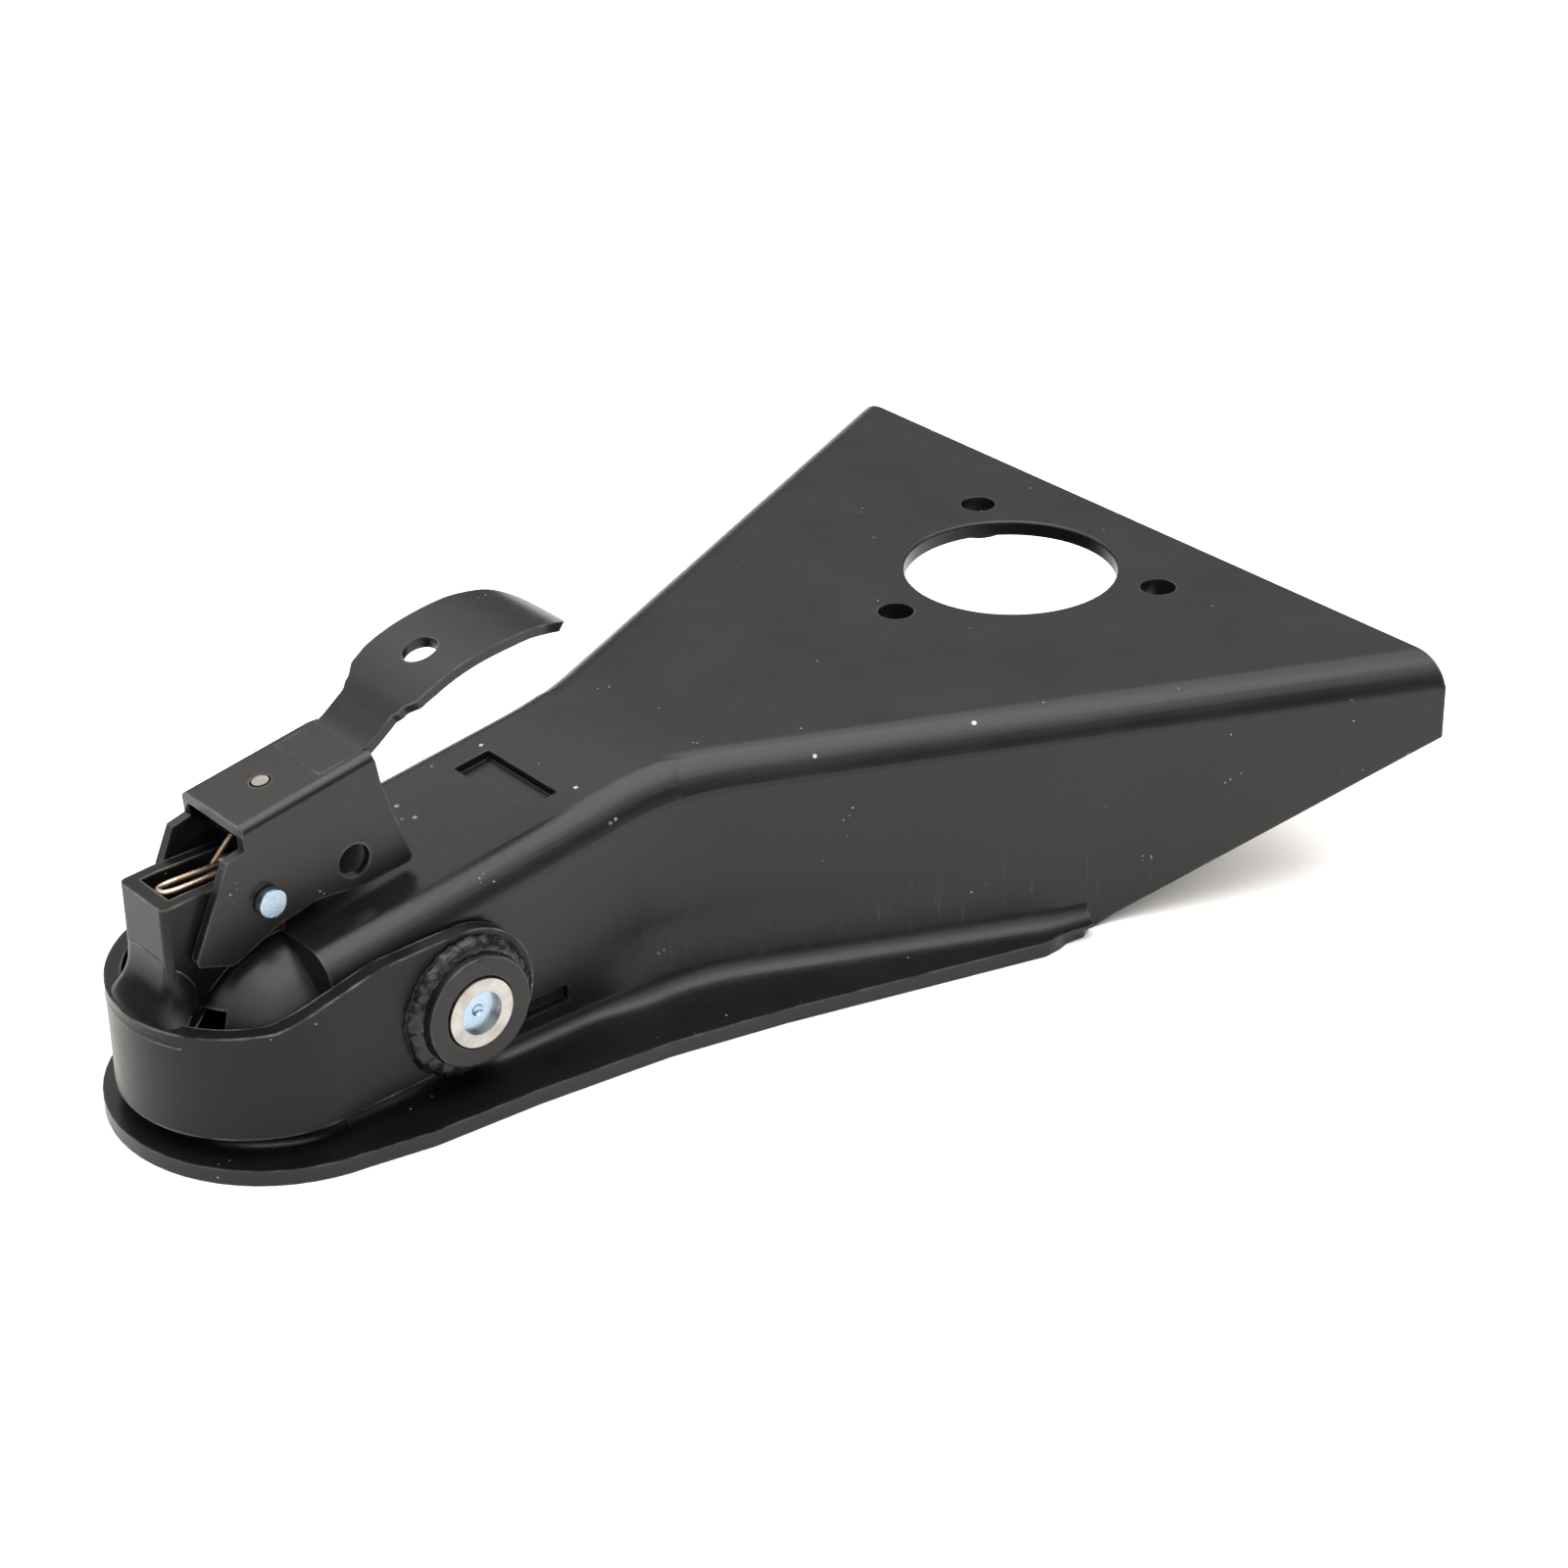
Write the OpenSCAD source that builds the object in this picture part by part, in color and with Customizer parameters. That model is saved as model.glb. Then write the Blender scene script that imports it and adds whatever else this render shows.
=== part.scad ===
// A-frame trailer coupler with a yoke latch.
// X runs forward to the towing vehicle, Y to the left and Z up.
// The origin is the centre of the jack tube hole in the face of the top plate.
// Heights in the modules are measured up from the underside of the flange.

/* [Channel] */
// Height of the top plate's face above the underside of the flange
plate_h = 73; // [70:1:80]
// Thickness of the pressed sheet
sheet_t = 4.8; // [4:0.1:5]
// Outer radius of the bends along the top edges
bend_r = 11; // [9:0.5:12]
// Distance from the jack tube hole back to the rear edge
rear_x = 52.5; // [50:0.5:62]
// Half width of the channel at the jack tube hole, before the bends
wall_y = 109.5; // [106:0.5:112]
// Included angle of the two side walls
frame_angle = 50; // [49:0.5:51]
// Distance from the jack tube hole forward to the centre of the ball
ball_x = 279; // [277:1:288]
// Height of the centre of the ball above the underside of the flange
ball_z = 22; // [21:0.5:23]
// Fall of the top of the neck, in millimetres for each millimetre of length
neck_fall = 0.14; // [0.12:0.01:0.15]
// Radius of the fillet between the walls and the flange
foot_r = 5; // [4:0.5:5.5]
// Height above the underside of the flange at which the rear cut starts on the rear edge
rear_cut_h = 47.4; // [40:1:50]

/* [Ball] */
// Diameter of the tow ball
ball_d = 58.7; // [57:0.1:59]
// Clearance of the socket round the ball
ball_gap = 0.25; // [0.2:0.05:0.5]

/* [Jack hole] */
// Diameter of the jack tube hole
jack_d = 66.7; // [60:0.1:68]
// Diameter of the circle of the three jack bolts
jack_pcd = 95.25; // [92:0.25:98]
// Diameter of the three bolt holes
jack_bolt_d = 11.1; // [8:0.1:12]

/* [Yoke] */
// Distance from the ball's centre back to the yoke's pivot
pivot_back = 38.6; // [38.2:0.2:39.4]
// Height of the pivot above the underside of the flange
pivot_z = 31; // [30:0.5:32]
// Thickness of the band of the yoke
band_t = 4.8; // [4:0.1:5]
// Gap between the neck of the channel and the band
band_gap = 1.4; // [1.3:0.1:1.8]
// Height of the band's lower edge above the underside of the flange
band_low = 11; // [10.5:0.5:12]
// Height of the band's upper edge at its front
band_high = 42.5; // [41:0.5:44]
// Radius of the rounded end of the yoke's arms
arm_end_r = 22.5; // [21:0.5:23]
// Height of the top of the latch tower above the top plate's face
tower_rise = 3; // [2:0.5:5]

/* [Lever] */
// Distance from the ball's centre forward to the lever pin
lever_pin_ahead = 6; // [5:0.5:7]
// Depth of the lever pin below the top plate's face
lever_pin_drop = 3; // [2.5:0.5:4]
// Outer width of the lever
lever_w = 30; // [29:0.5:31]
// Thickness of the lever's sheet
lever_t = 3; // [2.5:0.1:3]
// Width of the handle's tongue
tongue_w = 33; // [28:1:36]
// Diameter of the safety pin hole through the lever's cheeks
safety_hole_d = 10; // [6:0.5:11]

/* [Fasteners] */
// Outer diameter of the steel bushing at each end of the pivot
bushing_d = 21.2; // [20:0.1:22]
// Diameter of the pivot pin
pivot_pin_d = 12.7; // [12:0.1:13]
// Diameter of the lever pin
lever_pin_d = 6; // [5:0.1:6.4]
// Wire diameter of the torsion spring
wire_d = 2; // [1.6:0.1:2.2]

/* [Hidden] */
$fn = 96;
far = 400;

black_paint = [0.07, 0.07, 0.075];
bare_steel = [0.66, 0.66, 0.64];
zinc = [0.72, 0.76, 0.8];
spring_wire = [0.5, 0.42, 0.34];

half_angle = frame_angle / 2;
socket_r = ball_d / 2 + ball_gap;
dome_r = socket_r + sheet_t;
neck_y = dome_r + 0.4;
kink_x = (wall_y - neck_y) / tan(half_angle);
pivot_x = ball_x - pivot_back;
band_in = neck_y + band_gap;
band_out = band_in + band_t;
band_x = ball_x + 3.5;
run_gap = 0.06;
fit_gap = 0.02;

// The rounds stand a hair outside of the walls, each by its own amount, so that they end apart at the kink
body_round_out = 0.05;
neck_round_out = 0.02;

// Jack bolt holes: one ahead of the jack tube and two behind it
bolt_angles = [0, 120, 240];
bolt_collar_r = 8.5;
bolt_collar_h = 3.5;

// Window in the nose that the ball jaw swings through
window_low = 7.5;
window_high = 42;
window_angle = 36;

// Slots in the neck walls that hold the tabs of the rear jaw plate
slot_x = 202;
slot_len = 20;
slot_low = 13;
slot_h = 5.5;

// Pressed recess on top of the neck
recess_x = ball_x - 83.5;
recess_len = 12;
recess_w = 33;
recess_deep = 2.6;

boss_r = 17;
boss_t = 6.7;
weld_w = 3.6;
arm_rise = 3;
washer_r = 15;
washer_t = 1.1;
bushing_proud = 0.4;
pin_recess = 2.4;
spacer_r = 8.4;

lever_pin_x = ball_x + lever_pin_ahead;
lever_pin_z = plate_h - lever_pin_drop;
tower_h = plate_h + tower_rise;
tower_y = 11.2;
tower_wall = 4;
tower_front = band_out - 5;
tower_front_t = 4.6;
pin_head_r = 4.4;
rivet_x = -10;
rivet_hole_r = 2.95;
rivet_r = 2.4;
safety_hole_x = -28.3;
safety_hole_z = 1.3;
tongue_tip = -111;
tongue_hole_x = -64;
tongue_hole_r = 5;
pin_head_t = 3.2;
coil_r = lever_pin_d / 2 + 2.2;
coil_turns = 2;

// Raises what is drawn from the underside of the flange to its place under the top plate
module on_base() {
    translate([0, 0, -plate_h])
        children();
}

// Draws its children on both sides of the middle plane
module both_sides() {
    children();
    mirror([0, 1, 0])
        children();
}

// A cylinder across the part, between two widths
module cross_cylinder(r, from_y, to_y) {
    translate([0, to_y, 0])
        rotate([90, 0, 0])
            cylinder(h = to_y - from_y, r = r);
}

// A side view drawn in X and Z, pushed out across the part
module across(from_y, to_y) {
    translate([0, to_y, 0])
        rotate([90, 0, 0])
            linear_extrude(to_y - from_y)
                children();
}

// What a bend takes off an edge that runs from a to b: all that lies above and outside of its axis, but for the round
module bend_cut(a, b, r) {
    run = b - a;
    reach = 60;
    translate(a)
        rotate([0, 0, atan2(run[1], run[0])])
            rotate([0, -atan2(run[2], norm([run[0], run[1]])), 0])
                difference() {
                    translate([-5, 0, 0])
                        cube([norm(run) + 10, reach, reach]);
                    rotate([0, 90, 0])
                        translate([0, 0, -6])
                            cylinder(h = norm(run) + 12, r = r);
                }
}

// Rear body as a closed form: inset 0 is the outside, sheet_t the inside
module body_form(inset, low, back) {
    r = bend_r - inset;
    side = inset / cos(half_angle);
    axis = bend_r / cos(half_angle) - body_round_out;
    end_x = kink_x + 6;
    difference() {
        across(-far, far)
            polygon([
                [-back, low],
                [end_x, low],
                [end_x, plate_h - inset - neck_fall * (end_x - kink_x) - 0.5],
                [kink_x, plate_h - inset],
                [-back, plate_h - inset]
            ]);
        both_sides() {
            translate([0, 0, low - 1])
                linear_extrude(far)
                    polygon([
                        [-back - 1, wall_y + (back + 1) * tan(half_angle) - side],
                        [end_x + 1, wall_y - (end_x + 1) * tan(half_angle) - side],
                        [end_x + 1, 2 * far],
                        [-back - 1, 2 * far]
                    ]);
            bend_cut(
                [-back, wall_y + back * tan(half_angle) - axis, plate_h - bend_r],
                [end_x, wall_y - end_x * tan(half_angle) - axis, plate_h - bend_r],
                r
            );
        }
    }
}

// Neck as a closed form with a falling top
module neck_form(inset, low) {
    r = bend_r - inset;
    half = neck_y - inset;
    start_x = kink_x - 9;
    end_x = ball_x - inset;
    fall = neck_fall * (end_x - kink_x);
    round_y = neck_y - bend_r + neck_round_out;
    difference() {
        across(-half, half)
            polygon([
                [start_x, low],
                [end_x, low],
                [end_x, plate_h - inset - fall],
                [kink_x, plate_h - inset],
                [start_x, plate_h - inset - 0.6]
            ]);
        both_sides()
            bend_cut(
                [kink_x - 20, round_y, plate_h - bend_r + 20 * neck_fall],
                [end_x + 10, round_y, plate_h - bend_r - fall - 10 * neck_fall],
                r
            );
    }
}

// Dome over the ball, with the wall of the nose under it
module dome_form(inset, low) {
    r = dome_r - inset;
    translate([ball_x, 0, 0])
        rotate_extrude()
            difference() {
                union() {
                    translate([0, ball_z])
                        circle(r = r);
                    translate([0, low])
                        square([r, ball_z - low]);
                }
                translate([-2 * r, -2 * r])
                    square([2 * r, 6 * r]);
                translate([-1, low - 2 * r])
                    square([2 * r, 2 * r]);
            }
}

module pressing(inset, low, back) {
    body_form(inset, low, back);
    neck_form(inset, low);
    dome_form(inset, low);
}

// Plan of the flange on one side, out to its edge
flange_nose_r = band_out + 9.5;
flange_nose_x = ball_x - 2.8;
flange_end_x = 47;
flange_points = [
    [flange_nose_x, 0],
    for (a = [0 : 6 : 84]) [flange_nose_x + flange_nose_r * cos(a), flange_nose_r * sin(a)],
    [flange_nose_x - 14, flange_nose_r + 3.4],
    [flange_nose_x - 48, flange_nose_r + 5.6],
    [flange_nose_x - 90, flange_nose_r + 10.6],
    [flange_nose_x - 126, flange_nose_r + 18.6],
    [flange_end_x + 22, wall_y - flange_end_x * tan(half_angle) + 4],
    [flange_end_x + 16, wall_y - flange_end_x * tan(half_angle) + 3.6],
    [flange_end_x, wall_y - flange_end_x * tan(half_angle) - 1],
    [flange_end_x, 0]
];

// Fillet strip along the foot of a wall: profile drawn out from the wall and up from the flange
module foot_profile() {
    difference() {
        translate([-1, -1])
            square(foot_r + 1);
        translate([foot_r, foot_r])
            circle(r = foot_r);
        translate([foot_r, -2])
            square(foot_r + 2);
    }
}

module foot_fillets() {
    start = [flange_end_x + 2, wall_y - (flange_end_x + 2) * tan(half_angle)];
    kink = [kink_x, neck_y];
    nose = [ball_x, neck_y];
    past = 2;
    both_sides() {
        foot_sweep(start, kink, 0, past);
        foot_sweep(kink, nose, past, 0);
    }
    translate([ball_x, 0, sheet_t])
        rotate([0, 0, -90])
            rotate_extrude(angle = 180)
                translate([dome_r, 0])
                    foot_profile();
}

// Straight fillet along a wall from a to b, run on past its two ends into the next wall
module foot_sweep(a, b, past_a, past_b) {
    run = b - a;
    translate([a[0], a[1], sheet_t])
        rotate([0, 0, atan2(run[1], run[0])])
            rotate([90, 0, 90])
                translate([0, 0, -past_a])
                    linear_extrude(norm(run) + past_a + past_b)
                        foot_profile();
}

module channel() {
    color(black_paint)
        on_base()
            difference() {
                union() {
                    pressing(0, 0, rear_x);
                    linear_extrude(sheet_t)
                        both_sides()
                            polygon(flange_points);
                    foot_fillets();
                }
                difference() {
                    pressing(sheet_t, -1, rear_x + 10);
                    recess_underside();
                    bolt_collars();
                }
                recess_pocket();
                rear_cut();
                jack_holes();
                pivot_holes();
                jaw_slots();
                nose_window();
            }
}

// Slanting cut under the rear of the walls
module rear_cut() {
    slope = rear_cut_h / (rear_x + flange_end_x);
    across(-far, far)
        polygon([
            [-rear_x - 20, -5],
            [flange_end_x + 5 / slope, -5],
            [-rear_x - 20, (flange_end_x + rear_x + 20) * slope]
        ]);
}

module at_bolts(bottom) {
    for (a = bolt_angles)
        rotate([0, 0, a])
            translate([jack_pcd / 2, 0, bottom])
                children();
}

// Drawn collars under the plate that give the bolts' threads their length
module bolt_collars() {
    at_bolts(plate_h - sheet_t - bolt_collar_h)
        cylinder(h = bolt_collar_h + 1, r = bolt_collar_r);
}

module jack_holes() {
    translate([0, 0, plate_h - sheet_t - 1])
        cylinder(h = sheet_t + 2, r = jack_d / 2);
    at_bolts(plate_h - sheet_t - bolt_collar_h - 1)
        cylinder(h = sheet_t + bolt_collar_h + 2, r = jack_bolt_d / 2);
}

module pivot_holes() {
    translate([pivot_x, 0, pivot_z])
        cross_cylinder(bushing_d / 2, -neck_y - 5, neck_y + 5);
}

module jaw_slots() {
    translate([slot_x, -neck_y - 5, slot_low])
        cube([slot_len, 2 * neck_y + 10, slot_h]);
}

module nose_window() {
    reach = dome_r + 3;
    translate([ball_x, 0, window_low])
        linear_extrude(window_high - window_low)
            polygon([
                [0, 0],
                [reach * cos(window_angle), -reach * sin(window_angle)],
                [reach * 1.2, -reach * 0.6],
                [reach * 1.2, reach * 0.6],
                [reach * cos(window_angle), reach * sin(window_angle)]
            ]);
}

// The recess follows the falling top of the neck
module on_recess() {
    translate([recess_x, 0, plate_h - neck_fall * (recess_x - kink_x)])
        rotate([0, atan(neck_fall), 0])
            children();
}

module recess_pocket() {
    on_recess()
        translate([-recess_len / 2, -recess_w / 2, -recess_deep])
            cube([recess_len, recess_w, recess_deep + 2]);
}

module recess_underside() {
    border = 2;
    on_recess()
        translate([-recess_len / 2 - border, -recess_w / 2 - border, -sheet_t - recess_deep])
            cube([recess_len + 2 * border, recess_w + 2 * border, sheet_t]);
}

// Rear half of the lower socket: a plate held by its tabs in the neck's slots
module rear_jaw_plate() {
    thick = 4.8;
    tab = 2.4;
    front = ball_x - 14;
    color(bare_steel)
        on_base()
            translate([0, 0, slot_low])
                difference() {
                    union() {
                        translate([slot_x, -neck_y + sheet_t - tab, 0])
                            cube([slot_len - 1, 2 * (neck_y - sheet_t + tab), thick]);
                        translate([slot_x, -neck_y + sheet_t + 1, 0])
                            cube([front - slot_x, 2 * (neck_y - sheet_t - 1), thick]);
                    }
                    translate([ball_x, 0, ball_z - slot_low])
                        sphere(r = socket_r);
                }
}

module at_pivot() {
    on_base()
        translate([pivot_x, 0, pivot_z])
            children();
}

module pivot_pin() {
    end_y = band_out + boss_t + bushing_proud - pin_recess;
    color(zinc)
        at_pivot()
            difference() {
                cross_cylinder(pivot_pin_d / 2, -end_y, end_y);
                both_sides()
                    translate([0, end_y + 1.2, 0])
                        sphere(r = 2.2, $fn = 48);
            }
}

module pivot_spacer() {
    color(zinc)
        at_pivot()
            difference() {
                cross_cylinder(spacer_r, -(neck_y - sheet_t - 0.1), neck_y - sheet_t - 0.1);
                cross_cylinder(pivot_pin_d / 2 + fit_gap, -neck_y, neck_y);
            }
}

module pivot_bushing() {
    inner_y = neck_y - sheet_t - 0.1;
    outer_y = band_out + boss_t + bushing_proud;
    color(bare_steel)
        at_pivot()
            difference() {
                cross_cylinder(bushing_d / 2, inner_y, outer_y);
                cross_cylinder(pivot_pin_d / 2 + fit_gap, inner_y - 1, outer_y + 1);
            }
}

module pivot_bushing_left() {
    pivot_bushing();
}

module pivot_bushing_right() {
    mirror([0, 1, 0])
        pivot_bushing();
}

module pivot_washer() {
    color(zinc)
        at_pivot()
            difference() {
                cross_cylinder(washer_r, neck_y, neck_y + washer_t);
                cross_cylinder(bushing_d / 2 + fit_gap, neck_y - 1, neck_y + washer_t + 1);
            }
}

module pivot_washer_left() {
    pivot_washer();
}

module pivot_washer_right() {
    mirror([0, 1, 0])
        pivot_washer();
}

// Side view of the yoke's band and arms
module band_side() {
    front = band_x + band_out + 5;
    difference() {
        union() {
            polygon([
                [front, 0],
                [front, band_high],
                [ball_x + 20, band_high + 1.5],
                [ball_x + 6, band_high + 6.5],
                [ball_x - 11, band_high + 10.6],
                [ball_x - 28, band_high + 11],
                [pivot_x, pivot_z + arm_end_r],
                [pivot_x, 0]
            ]);
            translate([pivot_x, pivot_z])
                circle(r = arm_end_r);
        }
        polygon([
            [front + 1, -far],
            [front + 1, band_low],
            [ball_x + 10, band_low],
            [pivot_x - arm_end_r - 1, band_low + arm_rise],
            [pivot_x - arm_end_r - 1, -far]
        ]);
    }
}

// Plan of the yoke: a half ring round the nose with two straight arms
module band_plan() {
    rear = pivot_x - arm_end_r - 1;
    difference() {
        union() {
            translate([band_x, 0])
                circle(r = band_out);
            translate([rear, -band_out])
                square([band_x - rear, 2 * band_out]);
        }
        translate([band_x, 0])
            circle(r = band_in);
        translate([rear - 1, -band_in])
            square([band_x - rear + 1, 2 * band_in]);
    }
}

// Side view of the tower: the front wall on its flared foot and the two ears for the lever pin
module tower_side() {
    front_x = ball_x + tower_front;
    foot_out = 6.2;
    union() {
        polygon([
            [front_x + foot_out, band_low + 16],
            [front_x + foot_out, band_high - 5],
            [front_x + foot_out - 1, band_high - 1],
            [front_x + foot_out / 2, band_high + 3],
            [front_x + 0.8, band_high + 8],
            [front_x, band_high + 14],
            [front_x, tower_h],
            [front_x - 10, tower_h + 0.8],
            [lever_pin_x, lever_pin_z + 7],
            [lever_pin_x - 7, lever_pin_z],
            [lever_pin_x - 7, ball_z + 20],
            [ball_x + 10, band_low + 16]
        ]);
        translate([lever_pin_x, lever_pin_z])
            circle(r = 7);
    }
}

module tower() {
    front_x = ball_x + tower_front;
    difference() {
        across(-tower_y, tower_y)
            tower_side();
        translate([lever_pin_x - 20, -tower_y + tower_wall, band_low])
            cube([front_x - tower_front_t - lever_pin_x + 20, 2 * (tower_y - tower_wall), far]);
        translate([ball_x, 0, ball_z])
            sphere(r = band_in);
        translate([ball_x, 0, -1])
            cylinder(h = ball_z + 1, r = band_in);
        translate([lever_pin_x, 0, lever_pin_z])
            cross_cylinder(lever_pin_d / 2 + fit_gap, -tower_y - 1, tower_y + 1);
    }
}

module yoke() {
    color(black_paint)
        on_base()
            difference() {
                union() {
                    intersection() {
                        linear_extrude(100)
                            band_plan();
                        across(-far, far)
                            band_side();
                    }
                    tower();
                }
                translate([pivot_x, 0, pivot_z])
                    cross_cylinder(bushing_d / 2 + run_gap, -far, far);
            }
}

// Front half of the lower socket, welded inside the band
module ball_jaw() {
    jaw_low = 11;
    jaw_high = 19;
    jaw_angle = 29;
    color(bare_steel)
        on_base()
            difference() {
                intersection() {
                    translate([ball_x, 0, jaw_low])
                        rotate([0, 0, -jaw_angle])
                            rotate_extrude(angle = 2 * jaw_angle)
                                translate([socket_r - 6, 0])
                                    square([band_out - socket_r + 6, jaw_high - jaw_low]);
                    translate([band_x, 0, jaw_low - 1])
                        cylinder(h = jaw_high - jaw_low + 2, r = band_in);
                }
                translate([ball_x, 0, ball_z])
                    sphere(r = socket_r + 0.3);
            }
}

module boss() {
    color(black_paint)
        at_pivot()
            difference() {
                cross_cylinder(boss_r, band_out, band_out + boss_t);
                cross_cylinder(bushing_d / 2 + run_gap, band_out - 1, band_out + boss_t + 1);
            }
}

module boss_left() {
    boss();
}

module boss_right() {
    mirror([0, 1, 0])
        boss();
}

// Weld bead round the foot of a boss
module boss_weld() {
    color(black_paint)
        at_pivot()
            translate([0, band_out, 0])
                rotate([-90, 0, 0])
                    rotate_extrude()
                        polygon([
                            [boss_r, 0],
                            [boss_r + weld_w, 0],
                            [boss_r + weld_w * 0.85, 1.4],
                            [boss_r + weld_w * 0.5, 2.6],
                            [boss_r, 3.6]
                        ]);
}

module boss_weld_left() {
    boss_weld();
}

module boss_weld_right() {
    mirror([0, 1, 0])
        boss_weld();
}

module at_lever_pin() {
    on_base()
        translate([lever_pin_x, 0, lever_pin_z])
            children();
}

module lever_pin() {
    inner = lever_w / 2 + 0.2;
    color(zinc)
        at_lever_pin() {
            cross_cylinder(lever_pin_d / 2, -inner - 1.6, inner);
            cross_cylinder(pin_head_r, inner, inner + pin_head_t);
        }
}

// Push-on cap that keeps the pin from sliding out on the right side
module lever_pin_cap() {
    inner = lever_w / 2 + 0.2;
    color(zinc)
        at_lever_pin()
            difference() {
                cross_cylinder(pin_head_r, -inner - 2.6, -inner);
                cross_cylinder(lever_pin_d / 2, -inner - 1.6, -inner + 1);
            }
}

module spring_sleeve() {
    half = tower_y - tower_wall - 0.1;
    color(bare_steel)
        at_lever_pin()
            difference() {
                cross_cylinder(lever_pin_d / 2 + 0.9, -half, half);
                cross_cylinder(lever_pin_d / 2 + fit_gap, -half - 1, half + 1);
            }
}

// The spring's wire on the left side, from its leg round the coil to the front loop.
// Each entry is a point, measured from the lever pin, and a direction square to the wire.
coil_out = tower_y - tower_wall - wire_d / 2 - 0.2;
coil_in = coil_out - coil_turns * (wire_d + 0.1);
coil_from = 45;
coil_sweep = 360 * coil_turns - 45;
coil_steps = 26;
loop_x = tower_front - tower_front_t - lever_pin_ahead - wire_d / 2 - 0.4;
leg_side = [sin(coil_from), 0, cos(coil_from)];
half_wire = concat(
    [[[-15, coil_out, 22.4], leg_side], [[-6, coil_out, 13], leg_side]],
    [
        for (i = [0 : coil_steps])
            let (u = i / coil_steps, a = coil_from - u * coil_sweep)
            [[coil_r * cos(a), coil_out + u * (coil_in - coil_out), coil_r * sin(a)], [cos(a), 0, sin(a)]]
    ],
    [
        [[loop_x * 0.5, coil_in + 0.4, coil_r], [0, 0, 1]],
        [[loop_x - 4, coil_in + 0.5, coil_r], [0, 0, 1]],
        [[loop_x - 1, coil_in - 0.1, coil_r], [0, 0, 1]],
        [[loop_x, 0.8, coil_r], [0, 0, 1]]
    ]
);
wire_count = 2 * len(half_wire);
whole_wire = concat(
    half_wire,
    [
        for (k = [len(half_wire) - 1 : -1 : 0])
            let (p = half_wire[k][0])
            [[p[0], -p[1], p[2]], half_wire[k][1]]
    ]
);
wire_sides = 8;

function wire_ring(k) =
    let (run = whole_wire[min(k + 1, wire_count - 1)][0] - whole_wire[max(k - 1, 0)][0],
        ahead = run / norm(run),
        across_wire = cross(ahead, whole_wire[k][1]),
        up = across_wire / norm(across_wire),
        out = cross(up, ahead))
    [
        for (j = [0 : wire_sides - 1])
            whole_wire[k][0] + wire_d / 2 * (cos(j * 360 / wire_sides) * out + sin(j * 360 / wire_sides) * up)
    ];

function wire_faces() = concat(
    [[for (j = [0 : wire_sides - 1]) j]],
    [
        for (k = [0 : wire_count - 2], j = [0 : wire_sides - 1])
            let (n = (j + 1) % wire_sides, here = k * wire_sides, there = here + wire_sides)
            [here + j, there + j, there + n, here + n]
    ],
    [[for (j = [wire_sides - 1 : -1 : 0]) (wire_count - 1) * wire_sides + j]]
);

module torsion_spring() {
    color(spring_wire)
        at_lever_pin()
            polyhedron(
                points = [for (k = [0 : wire_count - 1]) each wire_ring(k)],
                faces = wire_faces(),
                convexity = 8
            );
}

// Side view of the lever's cheeks, measured from the lever pin
cheek_top_front = [6, 23.8];
cheek_top_rear = [-37, 31.4];
module cheek_side() {
    polygon([
        cheek_top_front,
        [5.6, 16.8],
        [11.4, 15.2],
        [23.2, -10.6],
        [22.6, -12.4],
        [12.6, -15.8],
        [10.8, -15.6],
        [-3, -9],
        [-16, -6.1],
        [-31, -7.4],
        [-46, -5.6],
        [-47, -4],
        [-38.6, 22],
        cheek_top_rear
    ]);
}

// Centre line of the handle: up from the top plate, over and down at the tip
tongue_line = [
    cheek_top_rear - [0, lever_t / 2],
    [-44, 35],
    [-51, 40.4],
    [-59, 44.9],
    [-68, 47.9],
    [-78, 49.7],
    [-88, 50.3],
    [-97, 49],
    [-104, 46],
    [-109, 42.4],
    [-112.5, 38.6]
];

function line_normal(path, k) =
    let (run = path[min(k + 1, len(path) - 1)] - path[max(k - 1, 0)])
    [-run[1], run[0]] / norm(run);

module tongue_side() {
    count = len(tongue_line);
    half = lever_t / 2;
    polygon(concat(
        [cheek_top_front, cheek_top_front - [0, lever_t]],
        [for (k = [0 : count - 1]) tongue_line[k] + half * line_normal(tongue_line, k)],
        [for (k = [count - 1 : -1 : 0]) tongue_line[k] - half * line_normal(tongue_line, k)]
    ));
}

// Plan of the top plate and the tongue, with the waist behind the plate and a round tip
module lever_plan() {
    tip_x = tongue_tip;
    tip_r = 12;
    half = tongue_w / 2;
    waist = lever_w / 2 - 3.5;
    difference() {
        union() {
            translate([cheek_top_rear[0], -lever_w / 2])
                square([60, lever_w]);
            polygon([
                [-36, -waist],
                [-46, -waist],
                [-53, -half + 0.6],
                [-58, -half],
                [-90, -half],
                [tip_x + tip_r, -tip_r - 1],
                [tip_x + tip_r, tip_r + 1],
                [-90, half],
                [-58, half],
                [-53, half - 0.6],
                [-46, waist],
                [-36, waist]
            ]);
            both_sides()
                translate([tip_x + tip_r, 3])
                    circle(r = tip_r - 2);
            translate([tip_x + 4, -5])
                square([tip_r, 10]);
        }
        translate([tongue_hole_x, 0])
            circle(r = tongue_hole_r);
        translate([rivet_x, 0])
            circle(r = rivet_hole_r);
    }
}

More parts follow.
